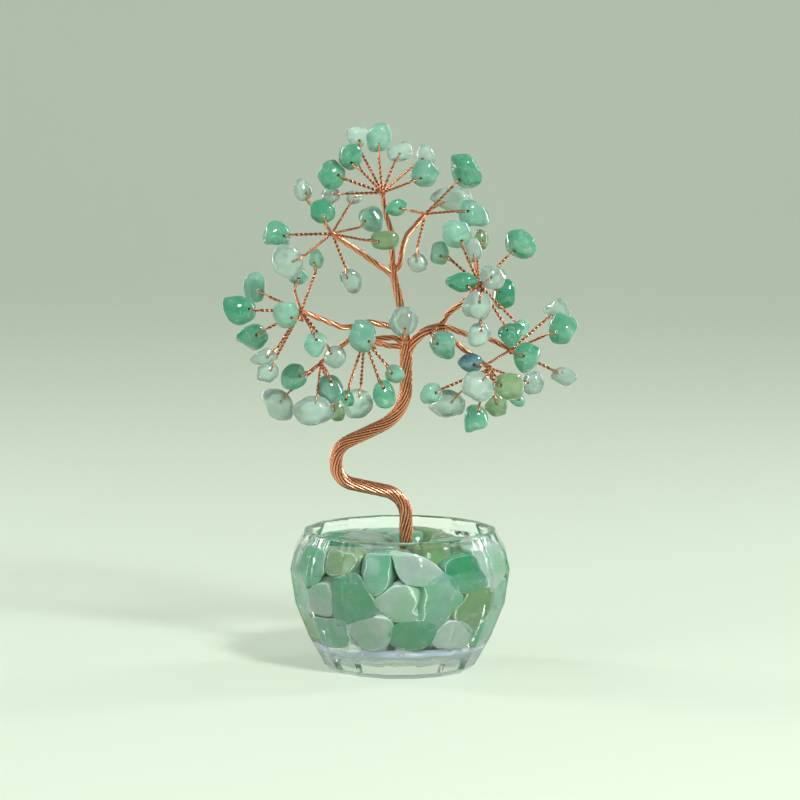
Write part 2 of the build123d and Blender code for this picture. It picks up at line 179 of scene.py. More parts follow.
class GEMTREE_PG_bowl(PropertyGroup):
    """Sizes of the glass bowl and the stones in it"""
    base_radius: length("Base radius", "Radius of the glass at its base", 0.0185)
    belly_radius: length("Belly radius", "Largest radius of the glass", 0.028)
    belly_height: length("Belly height", "Height of the largest radius", 0.0255)
    rim_radius: length("Rim radius", "Outer radius of the rim", 0.0238)
    wall: length("Wall", "Thickness of the glass wall", 0.0025)
    floor: length("Floor", "Thickness of the clear base", 0.0062)
    base_bevel: length("Base bevel", "Bevel round the foot", 0.0012)
    panels: IntProperty(name="Panels", description="Soft flats round the glass", default=16, min=3)
    soft_edge: length("Soft edge", "Rounding between two flats", 0.00025)
    stone_press: length("Stone press", "How far the stones are pressed out against the glass", 0.0005)
    stone_swell: FloatProperty(name="Stone swell", default=1.2,
                               description="Growth that fills the bowl again after rounding")


class GEMTREE_PG_wire(PropertyGroup):
    """Sizes of the copper wire"""
    trunk_radius: length("Trunk radius", "Radius of the whole trunk at its foot", 0.00175)
    trunk_top: length("Trunk top", "Radius of the trunk under the fork", 0.0016)
    trunk_strands: IntProperty(name="Trunk strands", description="Wires round the trunk", default=13, min=3)
    trunk_pitch: length("Trunk pitch", "Length of one full turn of the trunk's wires", 0.036)
    leader_radius: length("Leader radius", "Radius of the leader above the fork", 0.0013)
    leader_tip: length("Leader tip", "Radius of the leader at its tip", 0.00095)
    leader_strands: IntProperty(name="Leader strands", description="Wires round the leader", default=8, min=3)
    limb_radius: length("Limb radius", "Radius of the right limb", 0.00115)
    limb_strands: IntProperty(name="Limb strands", description="Wires round the right limb", default=7, min=3)
    bough_radius: length("Bough radius", "Radius of a bough's bundle", 0.00078)
    bough_strands: IntProperty(name="Bough strands", description="Wires round a bough", default=5, min=3)
    bough_pitch: length("Bough pitch", "Length of one full turn of a bough's wires", 0.016)
    twig_wire: length("Twig wire", "Radius of one wire of a twig's twisted pair", 0.00021)
    twig_pitch: length("Twig pitch", "Length of one full turn of a twig's pair", 0.0024)
    twig_gap: length("Twig gap", "From the chip's hole to the place where the loop closes", 0.0030)


class GEMTREE_PG_chip(PropertyGroup):
    """Sizes of the tumbled chips"""
    swell: FloatProperty(name="Swell", description="Growth that makes up for the rounding", default=1.2)
    wobble: FloatProperty(name="Wobble", description="Unevenness as a share of the size", default=0.06)
    sharpness: FloatProperty(name="Sharpness", description="How crisp the edges stay", default=0.35,
                             min=0, max=1)
    breaks: IntProperty(name="Breaks", description="Corners broken off each chip", default=2, min=0)
    hole_radius: length("Hole radius", "Radius of the drilled hole", 0.00042)
    rounding: IntProperty(name="Rounding", description="Subdivision of the chips", default=3, min=1, max=4)


class GEMTREE_PG_finish(PropertyGroup):
    """Colours of the finishes"""
    copper: colour("Copper", "Bright copper wire", (0.86, 0.37, 0.21))
    # Dark copper for random browner patches and for the painted shade in the grooves between the wires
    tarnish_and_groove_shade: colour("Tarnish", "Brown copper in the grooves", (0.09, 0.022, 0.010))
    clear: colour("Quartz", "Pale quartz", (0.66, 0.87, 0.78))
    mint: colour("Mint", "Mint aventurine", (0.29, 0.72, 0.54))
    green: colour("Green", "Green aventurine", (0.07, 0.52, 0.29))
    olive: colour("Olive", "Olive aventurine", (0.32, 0.56, 0.25))
    teal: colour("Teal", "Teal apatite", (0.05, 0.27, 0.33))
    vein: colour("Vein", "Milky veins in the stones", (0.72, 0.84, 0.76))
    glass: colour("Glass", "Bowl glass", (0.95, 0.98, 0.97))
    glue: colour("Glue", "Clear glue", (0.74, 0.77, 0.95))
    # Painted highlight: the pale glint along the line where a stone leaves the glass
    painted_edge_glint: colour("Glue line", "Glue that shows as a pale line round the stones", (0.88, 0.94, 0.90))


class GEMTREE_PG_stage(PropertyGroup):
    """Light, floor and camera"""
    floor: colour("Floor", "Pale floor and backdrop", (0.60, 0.68, 0.56))
    key: power("Key light", "Power of the lamp at the upper right", 6.0)
    fill: power("Fill light", "Power of the large lamp at the left", 1.6)
    rear: power("Strip lights", "Power of each strip behind the tree", 1.6)
    world: FloatProperty(name="Room light", description="Strength of the room's light", default=0.35)
    distance: length("Distance", "From the camera to the tree", 1.2)
    elevation: FloatProperty(name="Elevation", description="Camera above the horizon", subtype="ANGLE",
                             default=math.radians(7.25))
    view_height: length("View height", "Height that the camera looks at", 0.0675)
    view_width: length("View width", "Width of the picture at the tree", 0.2)


# Finishes

class Socket:
    """A node's output that can be used in sums"""

    def __init__(self, finish, output):
        self.finish = finish
        self.output = output

    def maths(self, operation, first, second):
        return self.finish.node("ShaderNodeMath", {"operation": operation}, {0: first, 1: second})

    def __add__(self, other):
        return self.maths("ADD", self, other)

    def __sub__(self, other):
        return self.maths("SUBTRACT", self, other)

    def __rsub__(self, other):
        return self.maths("SUBTRACT", other, self)

    def __mul__(self, other):
        return self.maths("MULTIPLY", self, other)


class Finish:
    """A material whose Principled shader gets its varying values from nodes"""

    def __init__(self, name, **constants):
        self.material = bpy.data.materials.new(name)
        self.material.use_nodes = True
        self.nodes = self.material.node_tree.nodes
        self.links = self.material.node_tree.links
        self.shader = self.nodes["Principled BSDF"]
        for socket, value in constants.items():
            self.shader.inputs[socket.replace("_", " ")].default_value = value

    def node(self, kind, settings=None, inputs=None, output=0):
        node = self.nodes.new(kind)
        for key, value in (settings or {}).items():
            if key == "stops":
                while len(node.color_ramp.elements) < len(value):
                    node.color_ramp.elements.new(0.5)
                for element, (place, tone) in zip(node.color_ramp.elements, value):
                    element.position = place
                    element.color = (*tone, 1)
            else:
                setattr(node, key, value)
        for key, value in (inputs or {}).items():
            self.feed(node.inputs[key], value)
        return Socket(self, node.outputs[output])

    def feed(self, socket, value):
        if isinstance(value, Socket):
            self.links.new(value.output, socket)
        else:
            socket.default_value = value

    def surface(self, **values):
        for socket, value in values.items():
            self.feed(self.shader.inputs[socket.replace("_", " ")], value)

    def place(self):
        return self.node("ShaderNodeTexCoord", output="Object")

    def noise(self, scale, detail=2.0, place=None, distortion=0.0):
        return self.node("ShaderNodeTexNoise", None, {
            "Vector": place or self.place(), "Scale": scale, "Detail": detail, "Distortion": distortion,
        }, output="Fac")

    def ramp(self, value, *stops):
        return self.node("ShaderNodeValToRGB", {"stops": stops}, {"Fac": value})

    def mix(self, share, first, second):
        return self.node("ShaderNodeMix", {"data_type": "RGBA"}, {
            "Factor": share, 6: first, 7: second,
        }, output=2)

    def bump(self, height, strength, depth):
        return self.node("ShaderNodeBump", None, {"Height": height, "Strength": strength, "Distance": depth})


def opaque(tone):
    return (*tone, 1)


def grey(value):
    return (value, value, value)


def stone_finish(name, tint, colours, shade=1.0, **constants):
    """Translucent tumbled stone: cloudy colour, milky veins, a polished skin with a few dull pits"""
    finish = Finish(name, IOR=1.54, Coat_Roughness=0.02, Subsurface_Scale=0.002, **constants)
    # shade below 1 darkens the stone's colour and veins as painted shade
    base = Vector(getattr(colours, tint)) * shade
    vein = Vector(colours.vein) * shade
    place = finish.place()
    tone = finish.node("ShaderNodeAttribute", {"attribute_name": "tone"}, output="Fac")
    clouds = finish.noise(260, 3, place)
    veins = finish.noise(520, 4, place, distortion=1.5)
    deep = opaque(base * 0.72)
    light = opaque(base.lerp(vein, 0.22))
    cloudy = finish.mix(finish.ramp(clouds * 0.6 + tone * 0.4, (0.3, grey(0)), (0.72, grey(1))), deep, light)
    milky = finish.ramp(veins, (0.58, grey(0)), (0.72, grey(0.5)))
    pits = finish.noise(2600, 2, place)
    finish.surface(
        Base_Color=finish.mix(milky, cloudy, opaque(vein)),
        Roughness=finish.ramp(pits, (0.45, grey(0.05)), (0.75, grey(0.16))),
        Normal=finish.bump(finish.noise(700, 3, place), 0.2, 0.0003),
    )
    return finish


def chip_finish(name, tint, colours):
    """Stone of a chip: the paler it is, the more light it lets through"""
    clear = {"clear": 0.6, "mint": 0.4, "green": 0.3, "olive": 0.45, "teal": 0.15}[tint]
    finish = stone_finish(name, tint, colours, Transmission_Weight=clear, Coat_Weight=1.0,
                          Subsurface_Weight=0.4)
    return finish.material


def bowl_stone_finish(name, tint, colours):
    """Stone behind glass: darkened all over by painted shade, deep in colour in patches, with a painted pale
    glint line where it leaves the glass
    """
    # Painted shade: the stones in the bowl are darkened to 0.68, standing in for the shadow that the glass
    # does not cast
    finish = stone_finish(name, tint, colours, shade=0.68, Transmission_Weight=0.25, Coat_Weight=0.3,
                          Subsurface_Weight=0.4)
    plain = Socket(finish, finish.shader.inputs["Base Color"].links[0].from_socket)
    place = finish.place()
    base = Vector(getattr(colours, tint))
    clearance = finish.node("ShaderNodeAttribute", {"attribute_name": "clearance"}, output="Fac")
    uneven = clearance + finish.noise(500, 3, place) * 0.06 - 0.03
    patches = finish.ramp(finish.noise(140, 3, place), (0.42, grey(0)), (0.62, grey(0.85)))
    vivid = finish.mix(patches, plain, opaque(Vector((base.x * 0.35, base.y * 0.55, base.z * 0.38))))
    # Painted highlight: a pale line where the stone stands just off the glass
    line = finish.ramp(uneven, (0.04, grey(0)), (0.08, grey(0.8)), (0.22, grey(0)))
    finish.surface(Base_Color=finish.mix(line, vivid, opaque(colours.painted_edge_glint)))
    return finish.material


def copper_finish(colours):
    """Drawn copper wire: bright on the outside of a bundle, browner in random patches, with painted shade in
    the grooves between the wires
    """
    finish = Finish("drawn copper", Metallic=1.0, Specular_IOR_Level=0.5)
    place = finish.place()
    patches = finish.noise(180, 4, place)
    streaks = finish.noise(1500, 2, place)
    rubbed = finish.node("ShaderNodeAttribute", {"attribute_name": "rubbed"}, output="Fac")
    # Painted shade: points deep between the wires are darkened towards the dark copper, with random patches
    # added
    shade_and_patches = finish.ramp(rubbed + patches * 0.3 - 0.15, (0.15, grey(0)), (0.8, grey(1)))
    finish.surface(
        Base_Color=finish.mix(shade_and_patches, opaque(colours.tarnish_and_groove_shade), opaque(colours.copper)),
        Roughness=finish.ramp(streaks, (0.3, grey(0.14)), (0.7, grey(0.3))),
        Normal=finish.bump(streaks, 0.12, 0.0001),
    )
    return finish.material


def glass_finish(colours):
    """Pressed clear glass with a faint ripple, cleared in patches where a stone is bonded to it"""
    finish = Finish("pressed glass", IOR=1.5, Transmission_Weight=1.0)
    place = finish.place()
    bonded = finish.node("ShaderNodeAttribute", {"attribute_name": "bonded"}, output="Fac")
    wet = finish.ramp(finish.noise(190, 3, place), (0.48, grey(1)), (0.54, grey(0)))
    ripple = finish.noise(160, 2, place)
    finish.surface(
        Base_Color=finish.mix(finish.noise(60, 2, place), opaque(colours.glass),
                              opaque(Vector(colours.glass) * 0.97)),
        Roughness=finish.ramp(finish.noise(900, 2, place), (0.4, grey(0.01)), (0.8, grey(0.05))),
        Normal=finish.bump(ripple, 0.2, 0.0006),
        Alpha=1 - bonded * wet,
    )
    return finish.material


def glue_finish(colours):
    """Clear glue with small bubbles"""
    finish = Finish("set glue", IOR=1.46, Transmission_Weight=0.45, Subsurface_Weight=0.3)
    place = finish.place()
    bubbles = finish.node("ShaderNodeTexVoronoi", None, {"Vector": place, "Scale": 700.0}, output="Distance")
    finish.surface(
        Base_Color=finish.mix(finish.ramp(bubbles, (0.1, grey(1)), (0.25, grey(0))),
                              opaque(colours.glue), opaque((0.95, 0.95, 0.98))),
        Roughness=finish.ramp(bubbles, (0.1, grey(0.3)), (0.3, grey(0.08))),
        Normal=finish.bump(bubbles, 0.3, 0.0003),
    )
    return finish.material


def shared_finish(name, make):
    """The finish of that name, made when the first piece asks for it"""
    return bpy.data.materials.get(name) or make()


def copper(context):
    return shared_finish("drawn copper", lambda: copper_finish(context.scene.gemtree_finish))


def chip_stone(tint, context):
    name = f"{tint} chip stone"
    return shared_finish(name, lambda: chip_finish(name, tint, context.scene.gemtree_finish))


def bowl_stone(tint, context):
    name = f"{tint} bowl stone"
    return shared_finish(name, lambda: bowl_stone_finish(name, tint, context.scene.gemtree_finish))


# Helpers for places and meshes

def above_soil(right, back, height):
    return Vector((right, back, SOIL + height)) * MM


def new_piece(name, mesh, material, slot):
    """Object for a finished mesh, at the origin, with its finish"""
    mesh.name = name
    mesh.materials.clear()
    mesh.materials.append(material)
    mesh.shade_smooth()
    piece = bpy.data.objects.new(name, mesh)
    bpy.context.scene.collection.objects.link(piece)
    return piece


def mesh_of(bm):
    mesh = bpy.data.meshes.new("piece")
    bm.to_mesh(mesh)
    bm.free()
    return mesh


def evaluated_mesh(piece):
    """The piece's mesh with its modifiers or its curve's thickness applied"""
    shown = piece.evaluated_get(bpy.context.evaluated_depsgraph_get())
    return bpy.data.meshes.new_from_object(shown)


def verts_in(items):
    """The vertices among mixed parts of a mesh"""
    return [item for item in items if isinstance(item, bmesh.types.BMVert)]


def once_each(items):
    """The items in their order, without repeats"""
    return list(dict.fromkeys(items))


def spot_order(point):
    """Sorting key that puts points in the same order on each run"""
    return tuple(round(number / (0.001 * MM)) for number in point)


def solids_of(node):
    """Corner points of each separate solid of a CAD node, from a merged copy of its mesh"""
    bm = bmesh.new()
    bm.from_mesh(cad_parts[node].data)
    bmesh.ops.remove_doubles(bm, verts=bm.verts, dist=WELD)
    seen = set()
    solids = []
    for first in bm.verts:
        if first in seen:
            continue
        seen.add(first)
        front = [first]
        found = []
        while front:
            vert = front.pop()
            found.append(vert.co.copy())
            for edge in vert.link_edges:
                other = edge.other_vert(vert)
                if other not in seen:
                    seen.add(other)
                    front.append(other)
        solids.append(sorted(found, key=spot_order))
    bm.free()
    return sorted(solids, key=lambda points: spot_order(middle_of(points)))


def add_hull(bm, points):
    """Adds the convex solid round these points, with its flat faces whole, and returns its corners"""
    corners = [bm.verts.new(point) for point in points]
    made = bmesh.ops.convex_hull(bm, input=corners)
    loose = verts_in(made["geom_interior"] + made["geom_unused"])
    bmesh.ops.delete(bm, geom=once_each(loose), context="VERTS")
    corners = [corner for corner in corners if corner.is_valid]
    edges = once_each(edge for corner in corners for edge in corner.link_edges)
    bmesh.ops.dissolve_limit(bm, angle_limit=FLAT, verts=corners, edges=edges)
    return [corner for corner in corners if corner.is_valid]


def middle_of(points):
    return sum(points, Vector()) / len(points)


@dataclass
class DrilledChip:
    """A chip of the CAD model: its corner points and the hole near its end"""
    points: list
    hole: Vector
    axis: Vector
    half_depth: float


def drilled_chip(points):
    """Finds the drilled hole: the rings of points that are not corners of the chip's hull"""
    bm = bmesh.new()
    corners = [vert.co.copy() for vert in add_hull(bm, points)]
    bm.free()
    rim = [p for p in points if min((p - corner).length for corner in corners) > 0.02 * MM]
    hole = middle_of(rim)
    far = max(rim, key=lambda p: (p - hole).length)
    one_end = [p for p in rim if (p - hole).dot(far - hole) > 0]
    axis = middle_of(one_end) - hole
    return DrilledChip(points, hole, axis.normalized(), axis.length)


def chips_of(node):
    return [drilled_chip(points) for points in solids_of(node)]


# Helpers for wire

def rounded_route(points, bends):
    """Straight legs joined by arcs of the given radii, as a list of close points"""
    path = [points[0]]
    for before, corner, after, bend in zip(points, points[1:], points[2:], bends):
        coming = (corner - before).normalized()
        going = (after - corner).normalized()
        turn = coming.angle(going)
        if turn < 0.02:
            path.append(corner)
            continue
        room = 0.48 * min((corner - before).length, (after - corner).length)
        back = min(bend * math.tan(turn / 2), room)
        handle = 4 / 3 * math.tan(turn / 4) * back / math.tan(turn / 2)
        start = corner - coming * back
        end = corner + going * back
        path += interpolate_bezier(start, start + coming * handle, end - going * handle, end, 12)
    return path + [points[-1]]


def even_route(path, gap):
    """The same route with points at an even spacing"""
    spots = [0.0]
    for one, other in zip(path, path[1:]):
        spots.append(spots[-1] + (other - one).length)
    count = max(2, round(spots[-1] / gap))
    even = []
    leg = 0
    for k in range(count + 1):
        goal = spots[-1] * k / count
        while leg < len(path) - 2 and spots[leg + 1] < goal:
            leg += 1
        span = spots[leg + 1] - spots[leg]
        even.append(path[leg].lerp(path[leg + 1], (goal - spots[leg]) / span if span else 0))
    return even


def frames_along(path, side):
    """Point, side and across at each point of a route, carried along it without twist"""
    last = (path[1] - path[0]).normalized()
    side = (side - last * side.dot(last)).normalized()
    for k, point in enumerate(path):
        before = path[max(0, k - 1)]
        after = path[min(len(path) - 1, k + 1)]
        heading = (after - before).normalized()
        side = last.rotation_difference(heading) @ side
        last = heading
        yield point, side, heading.cross(side)


def twisted_strands(path, count, radius, tip, pitch):
    """Wires laid side by side round a route, as lists of (point, wire radius)"""
    gap = (path[1] - path[0]).length
    share = math.sin(math.pi / count)
    strands = [[] for _ in range(count)]
    for k, (point, side, across) in enumerate(frames_along(path, Vector((0, 1, 0)))):
        outer = radius + (tip - radius) * k / (len(path) - 1)
        ring = outer / (1 + share)
        turn = 2 * math.pi * k * gap / pitch
        for number, strand in enumerate(strands):
            angle = turn + 2 * math.pi * number / count
            spot = point + (side * math.cos(angle) + across * math.sin(angle)) * ring
            strand.append((spot, ring * share))
    return strands


def wire_mesh(strands, sides=1):
    """Round wires along lists of (point, wire radius), as one mesh"""
    curve = bpy.data.curves.new("wires", "CURVE")
    curve.dimensions = "3D"
    curve.bevel_depth = MM
    curve.bevel_resolution = sides
    curve.use_fill_caps = True
    for strand in strands:
        spline = curve.splines.new("POLY")
        spline.points.add(len(strand) - 1)
        for spot, (point, radius) in zip(spline.points, strand):
            spot.co = (*point, 1)
            spot.radius = radius / MM
    holder = bpy.data.objects.new("wires", curve)
    bpy.context.scene.collection.objects.link(holder)
    mesh = evaluated_mesh(holder)
    bpy.data.objects.remove(holder)
    bpy.data.curves.remove(curve)
    return mesh


def mark_painted_groove_light(mesh, spine):
    """Stores how far each point stands out of the grooves, for painted shade: 0 deep between two wires, 1 on
    the outside of the bundle
    """
    tree = KDTree(len(spine))
    for number, (point, _, _) in enumerate(spine):
        tree.insert(point, number)
    tree.balance()
    rubbed = mesh.attributes.new("rubbed", "FLOAT", "POINT")
    for vert, value in zip(mesh.vertices, rubbed.data):
        _, number, gap = tree.find(vert.co)
        _, outer, groove = spine[number]
        value.value = min(1, max(0, (gap - groove) / (outer - groove)))


def bundle_mesh(path, count, radius, tip, pitch):
    """Twisted wires and the hidden core that closes the gaps between them"""
    share = math.sin(math.pi / count)
    strands = twisted_strands(path, count, radius, tip, pitch)
    core = []
    spine = []
    for k, point in enumerate(path):
        outer = radius + (tip - radius) * k / (len(path) - 1)
        ring = outer / (1 + share)
        core.append((point, ring * (1 - 0.7 * share)))
        spine.append((point, outer, ring * math.cos(math.pi / count)))
    mesh = wire_mesh(strands + [core], sides=2)
    # Painted shade darkens the grooves and the hidden core between the wires
    mark_painted_groove_light(mesh, spine)
    return mesh


# Pieces

def glass_radius(sizes, level):
    """Radius of the glass over an edge between two flats, at one height"""
    if level <= sizes.belly_height:
        swell = math.sin(math.pi / 2 * level / sizes.belly_height)
        return sizes.base_radius + (sizes.belly_radius - sizes.base_radius) * swell
    turn = math.cos(math.pi / 2 * (level - sizes.belly_height) / (BOWL_TOP - sizes.belly_height))
    return sizes.rim_radius + (sizes.belly_radius - sizes.rim_radius) * turn


class GEMTREE_OT_bowl(Operator):
    """Thick clear glass bowl with soft flats"""
    bl_idname = "gemtree.bowl"
    bl_label = "Glass bowl"

    def execute(self, context):
        sizes = context.scene.gemtree_bowl
        height = BOWL_TOP

        def outside(level):
            return glass_radius(sizes, level)

        round_rim = sizes.wall / 2
        soil = SOIL * MM
        levels = [sizes.base_bevel, *FACET_HEIGHTS, sizes.belly_height, SHOULDER_HEIGHT, height - round_rim]
        profile = [(0, 0), (outside(sizes.base_bevel) - sizes.base_bevel, 0)]
        profile += [(outside(level), level) for level in levels]
        centre = outside(height - round_rim) - round_rim
        for k in range(1, 7):
            angle = math.pi * k / 7
            across = round_rim * math.cos(angle)
            rise = round_rim * math.sin(angle)
            profile.append((centre + across, height - round_rim + rise))
        inner = [soil + 0.0005, *[soil + (sizes.floor + 0.003 - soil) * k / 9 for k in range(10)]]
        profile += [(outside(level) - sizes.wall, level) for level in inner]
        floor_edge = outside(sizes.floor) - sizes.wall
        profile += [(floor_edge, sizes.floor + FLOOR_ROUND), (floor_edge - FLOOR_ROUND, sizes.floor)]
        profile.append((0, sizes.floor))

        bm = bmesh.new()
        panel = 2 * math.pi / sizes.panels
        corners = [bm.verts.new((x * math.cos(panel / 2), x * math.sin(panel / 2), z)) for x, z in profile]
        edges = [bm.edges.new(pair) for pair in zip(corners, corners[1:])]
        bmesh.ops.spin(bm, geom=corners + edges, cent=(0, 0, 0), axis=UP, angle=2 * math.pi,
                       steps=sizes.panels, use_merge=True)
        bmesh.ops.remove_doubles(bm, verts=bm.verts, dist=WELD)
        bmesh.ops.recalc_face_normals(bm, faces=bm.faces)

        def on_panels(vert):
            return vert.co.xy.length > outside(vert.co.z) - 0.0004 and sizes.base_bevel / 2 < vert.co.z

        edges = [edge for edge in bm.edges if on_panels(edge.verts[0]) and on_panels(edge.verts[1])]
        bmesh.ops.bevel(bm, geom=edges, offset=sizes.soft_edge, affect="EDGES", segments=2, profile=0.5,
                        material=-1, clamp_overlap=True)
        bonded = bm.verts.layers.float.new("bonded")
        for vert in bm.verts:
            inside = vert.co.xy.length < outside(vert.co.z) - sizes.wall / 2
            vert[bonded] = float(inside and sizes.floor - 0.0001 < vert.co.z < soil + 0.0001)
        glass = shared_finish("pressed glass", lambda: glass_finish(context.scene.gemtree_finish))
        piece = new_piece("bowl_glass", mesh_of(bm), glass, "clear_glass")
        piece.modifiers.new("Flat panels", "WEIGHTED_NORMAL")
        piece.visible_shadow = False
        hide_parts("glass_bowl")
        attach(piece, "stand")
        return {"FINISHED"}


class GEMTREE_OT_glue(Operator):
    """Clear glue that holds the trunk's foot"""
    bl_idname = "gemtree.glue"
    bl_label = "Glue bed"

    def execute(self, context):
        bm = bmesh.new()
        bm.from_mesh(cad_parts["glue_bed"].data)
        bmesh.ops.remove_doubles(bm, verts=bm.verts, dist=WELD)
        bmesh.ops.dissolve_limit(bm, angle_limit=FLAT, verts=bm.verts, edges=bm.edges)
        rim = [edge for edge in bm.edges if edge.calc_face_angle(0) > math.radians(40)]
        bmesh.ops.bevel(bm, geom=rim, offset=0.3 * MM, affect="EDGES", segments=3, profile=0.5, material=-1)
        glue = shared_finish("set glue", lambda: glue_finish(context.scene.gemtree_finish))
        piece = new_piece("set_glue", mesh_of(bm), glue, "clear_glue")
        piece.data.set_sharp_from_angle(angle=math.radians(35))
        piece.visible_shadow = False
        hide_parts("glue_bed")
        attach(piece, "stand")
        return {"FINISHED"}


def chip_off(bm, corners, away, share):
    """Breaks off the part of a solid that lies past this share of its reach in one direction"""
    centre = middle_of([corner.co for corner in corners])
    reach = max((corner.co - centre).dot(away) for corner in corners)
    edges = once_each(edge for corner in corners for edge in corner.link_edges)
    faces = once_each(face for corner in corners for face in corner.link_faces)
    cut = bmesh.ops.bisect_plane(bm, geom=[*corners, *edges, *faces], dist=1e-7,
                                 plane_co=centre + away * reach * share, plane_no=away,
                                 clear_outer=True)["geom_cut"]
    bmesh.ops.edgeloop_fill(bm, edges=[item for item in cut if isinstance(item, bmesh.types.BMEdge)])
    return [corner for corner in corners if corner.is_valid] + verts_in(cut)


def face_outwards(bm, faces, centre):
    """Turns the faces of one closed solid outwards, judged by the volume that they enclose"""
    bmesh.ops.recalc_face_normals(bm, faces=faces)
    volume = sum(face.calc_area() * face.normal.dot(face.calc_center_median() - centre) for face in faces)
    if volume < 0:
        bmesh.ops.reverse_faces(bm, faces=faces)


def rounded_stones(solids, swell, spread, wobble, sharp, smallest, levels, rng, breaks=()):
    """Tumbled stones: each solid becomes a hull, is broken and made uneven, grown and rounded off"""
    bm = bmesh.new()
    tone = bm.verts.layers.float.new("tone")
    crease = bm.edges.layers.float.new("crease_edge")
    for number, points in enumerate(solids):
        corners = add_hull(bm, points)
        bmesh.ops.remove_doubles(bm, verts=corners, dist=smallest)
        corners = [corner for corner in corners if corner.is_valid]
        for away, share in breaks[number] if breaks else ():
            corners = chip_off(bm, corners, away, share)
        centre = middle_of([corner.co for corner in corners])
        shade = rng.random()
        whole = swell * (1 + spread * rng.uniform(-1, 1))
        for corner in corners:
            grow = whole * (1 + wobble * rng.uniform(-1, 1))
            corner.co = centre + (corner.co - centre) * grow
            corner[tone] = shade
        for edge in once_each(edge for corner in corners for edge in corner.link_edges):
            edge[crease] = sharp * rng.random()
        face_outwards(bm, once_each(face for corner in corners for face in corner.link_faces), centre)
    holder = bpy.data.objects.new("stones", mesh_of(bm))
    bpy.context.scene.collection.objects.link(holder)
    rounding = holder.modifiers.new("Rounding", "SUBSURF")
    rounding.levels = levels
    rounding.render_levels = levels
    mesh = evaluated_mesh(holder)
    bpy.data.objects.remove(holder)
    normals = [vert.normal.copy() for vert in mesh.vertices]
    for vert, normal in zip(mesh.vertices, normals):
        vert.co += normal * noise.noise(vert.co * DENTS_PER_METRE) * DENT_MM * MM
    return mesh


def press_to_glass(mesh, sizes):
    """Flattens stones against the inside of the glass and stores each point's gap to it, in millimetres"""
    top = SOIL * MM
    panel = 2 * math.pi / sizes.panels
    clearance = mesh.attributes.new("clearance", "FLOAT", "POINT")
    for vert, value in zip(mesh.vertices, clearance.data):
        off_middle = (math.atan2(vert.co.y, vert.co.x) + panel / 2) % panel - panel / 2
        wall = (glass_radius(sizes, vert.co.z) - sizes.wall) * math.cos(panel / 2) / math.cos(off_middle)
        reach = vert.co.xy.length
        pushed = min(reach + sizes.stone_press, wall)
        value.value = max(0, wall - reach - sizes.stone_press) / MM
        vert.co.x *= pushed / reach
        vert.co.y *= pushed / reach
        vert.co.z = min(vert.co.z, top + 0.3 * (vert.co.z - top))


class GEMTREE_OT_bowl_stones(Operator):
    """Tumbled stones that fill the bowl"""
    bl_idname = "gemtree.bowl_stones"
    bl_label = "Bowl stones"

    def execute(self, context):
        rng = random.Random(5)
        sizes = context.scene.gemtree_bowl
        for tint in TINTS:
            node = f"bowl_{tint}_stones"
            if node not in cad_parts:
                continue
            mesh = rounded_stones(solids_of(node), sizes.stone_swell, spread=0.1, wobble=0.1, sharp=0.4,
                                  smallest=1.2 * MM, levels=3, rng=rng)
            press_to_glass(mesh, sizes)
            piece = new_piece(f"tumbled_{node}", mesh, bowl_stone(tint, context), SLOTS[tint])
            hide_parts(node)
            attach(piece, "stand")
        return {"FINISHED"}


class GEMTREE_OT_trunk(Operator):
    """Trunk, leader and right limb: many copper wires twisted into one rope"""
    bl_idname = "gemtree.trunk"
    bl_label = "Trunk and limbs"

    def execute(self, context):
        sizes = context.scene.gemtree_wire
        soft = [9 * MM] * len(LEADER_ROUTE)
        routes = {
            "trunk": (TRUNK_ROUTE, [bend * MM for bend in TRUNK_BENDS]),
            "leader": (LEADER_ROUTE, soft),
            "right_limb": (LIMB_ROUTE, soft),
        }
        bundles = {
            "trunk": (sizes.trunk_strands, sizes.trunk_radius, sizes.trunk_top),
            "leader": (sizes.leader_strands, sizes.leader_radius, sizes.leader_tip),
            "right_limb": (sizes.limb_strands, sizes.limb_radius, sizes.limb_radius),
        }
        for node, (spots, bends) in routes.items():
            route = rounded_route([above_soil(*spot) for spot in spots], bends)
            count, radius, tip = bundles[node]
            mesh = bundle_mesh(even_route(route, WIRE_STEP), count, radius, tip, sizes.trunk_pitch)
            piece = new_piece(f"{node}_strands", mesh, copper(context), "copper_wire")
            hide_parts(node)
            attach(piece, "stand")
        return {"FINISHED"}


class GEMTREE_OT_boughs(Operator):
    """Boughs: bundles of wires that leave the trunk and bend along their routes"""
    bl_idname = "gemtree.boughs"
    bl_label = "Boughs"

    def execute(self, context):
        sizes = context.scene.gemtree_wire
        for bough in BOUGHS:
            points = bough.points()
            path = even_route(rounded_route(points, [4 * MM] * len(points)), WIRE_STEP)
            mesh = bundle_mesh(path, sizes.bough_strands, sizes.bough_radius, 0.85 * sizes.bough_radius,
                               sizes.bough_pitch)
            piece = new_piece(f"{bough.name}_strands", mesh, copper(context), "copper_wire")
            root = above_soil(*bough.route[0])
            heading = above_soil(*bough.route[1]) - root
            if bough.level:
                heading.z = 0
            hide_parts(f"{bough.name}_wires")
            bough.body
            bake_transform(piece)
        return {"FINISHED"}


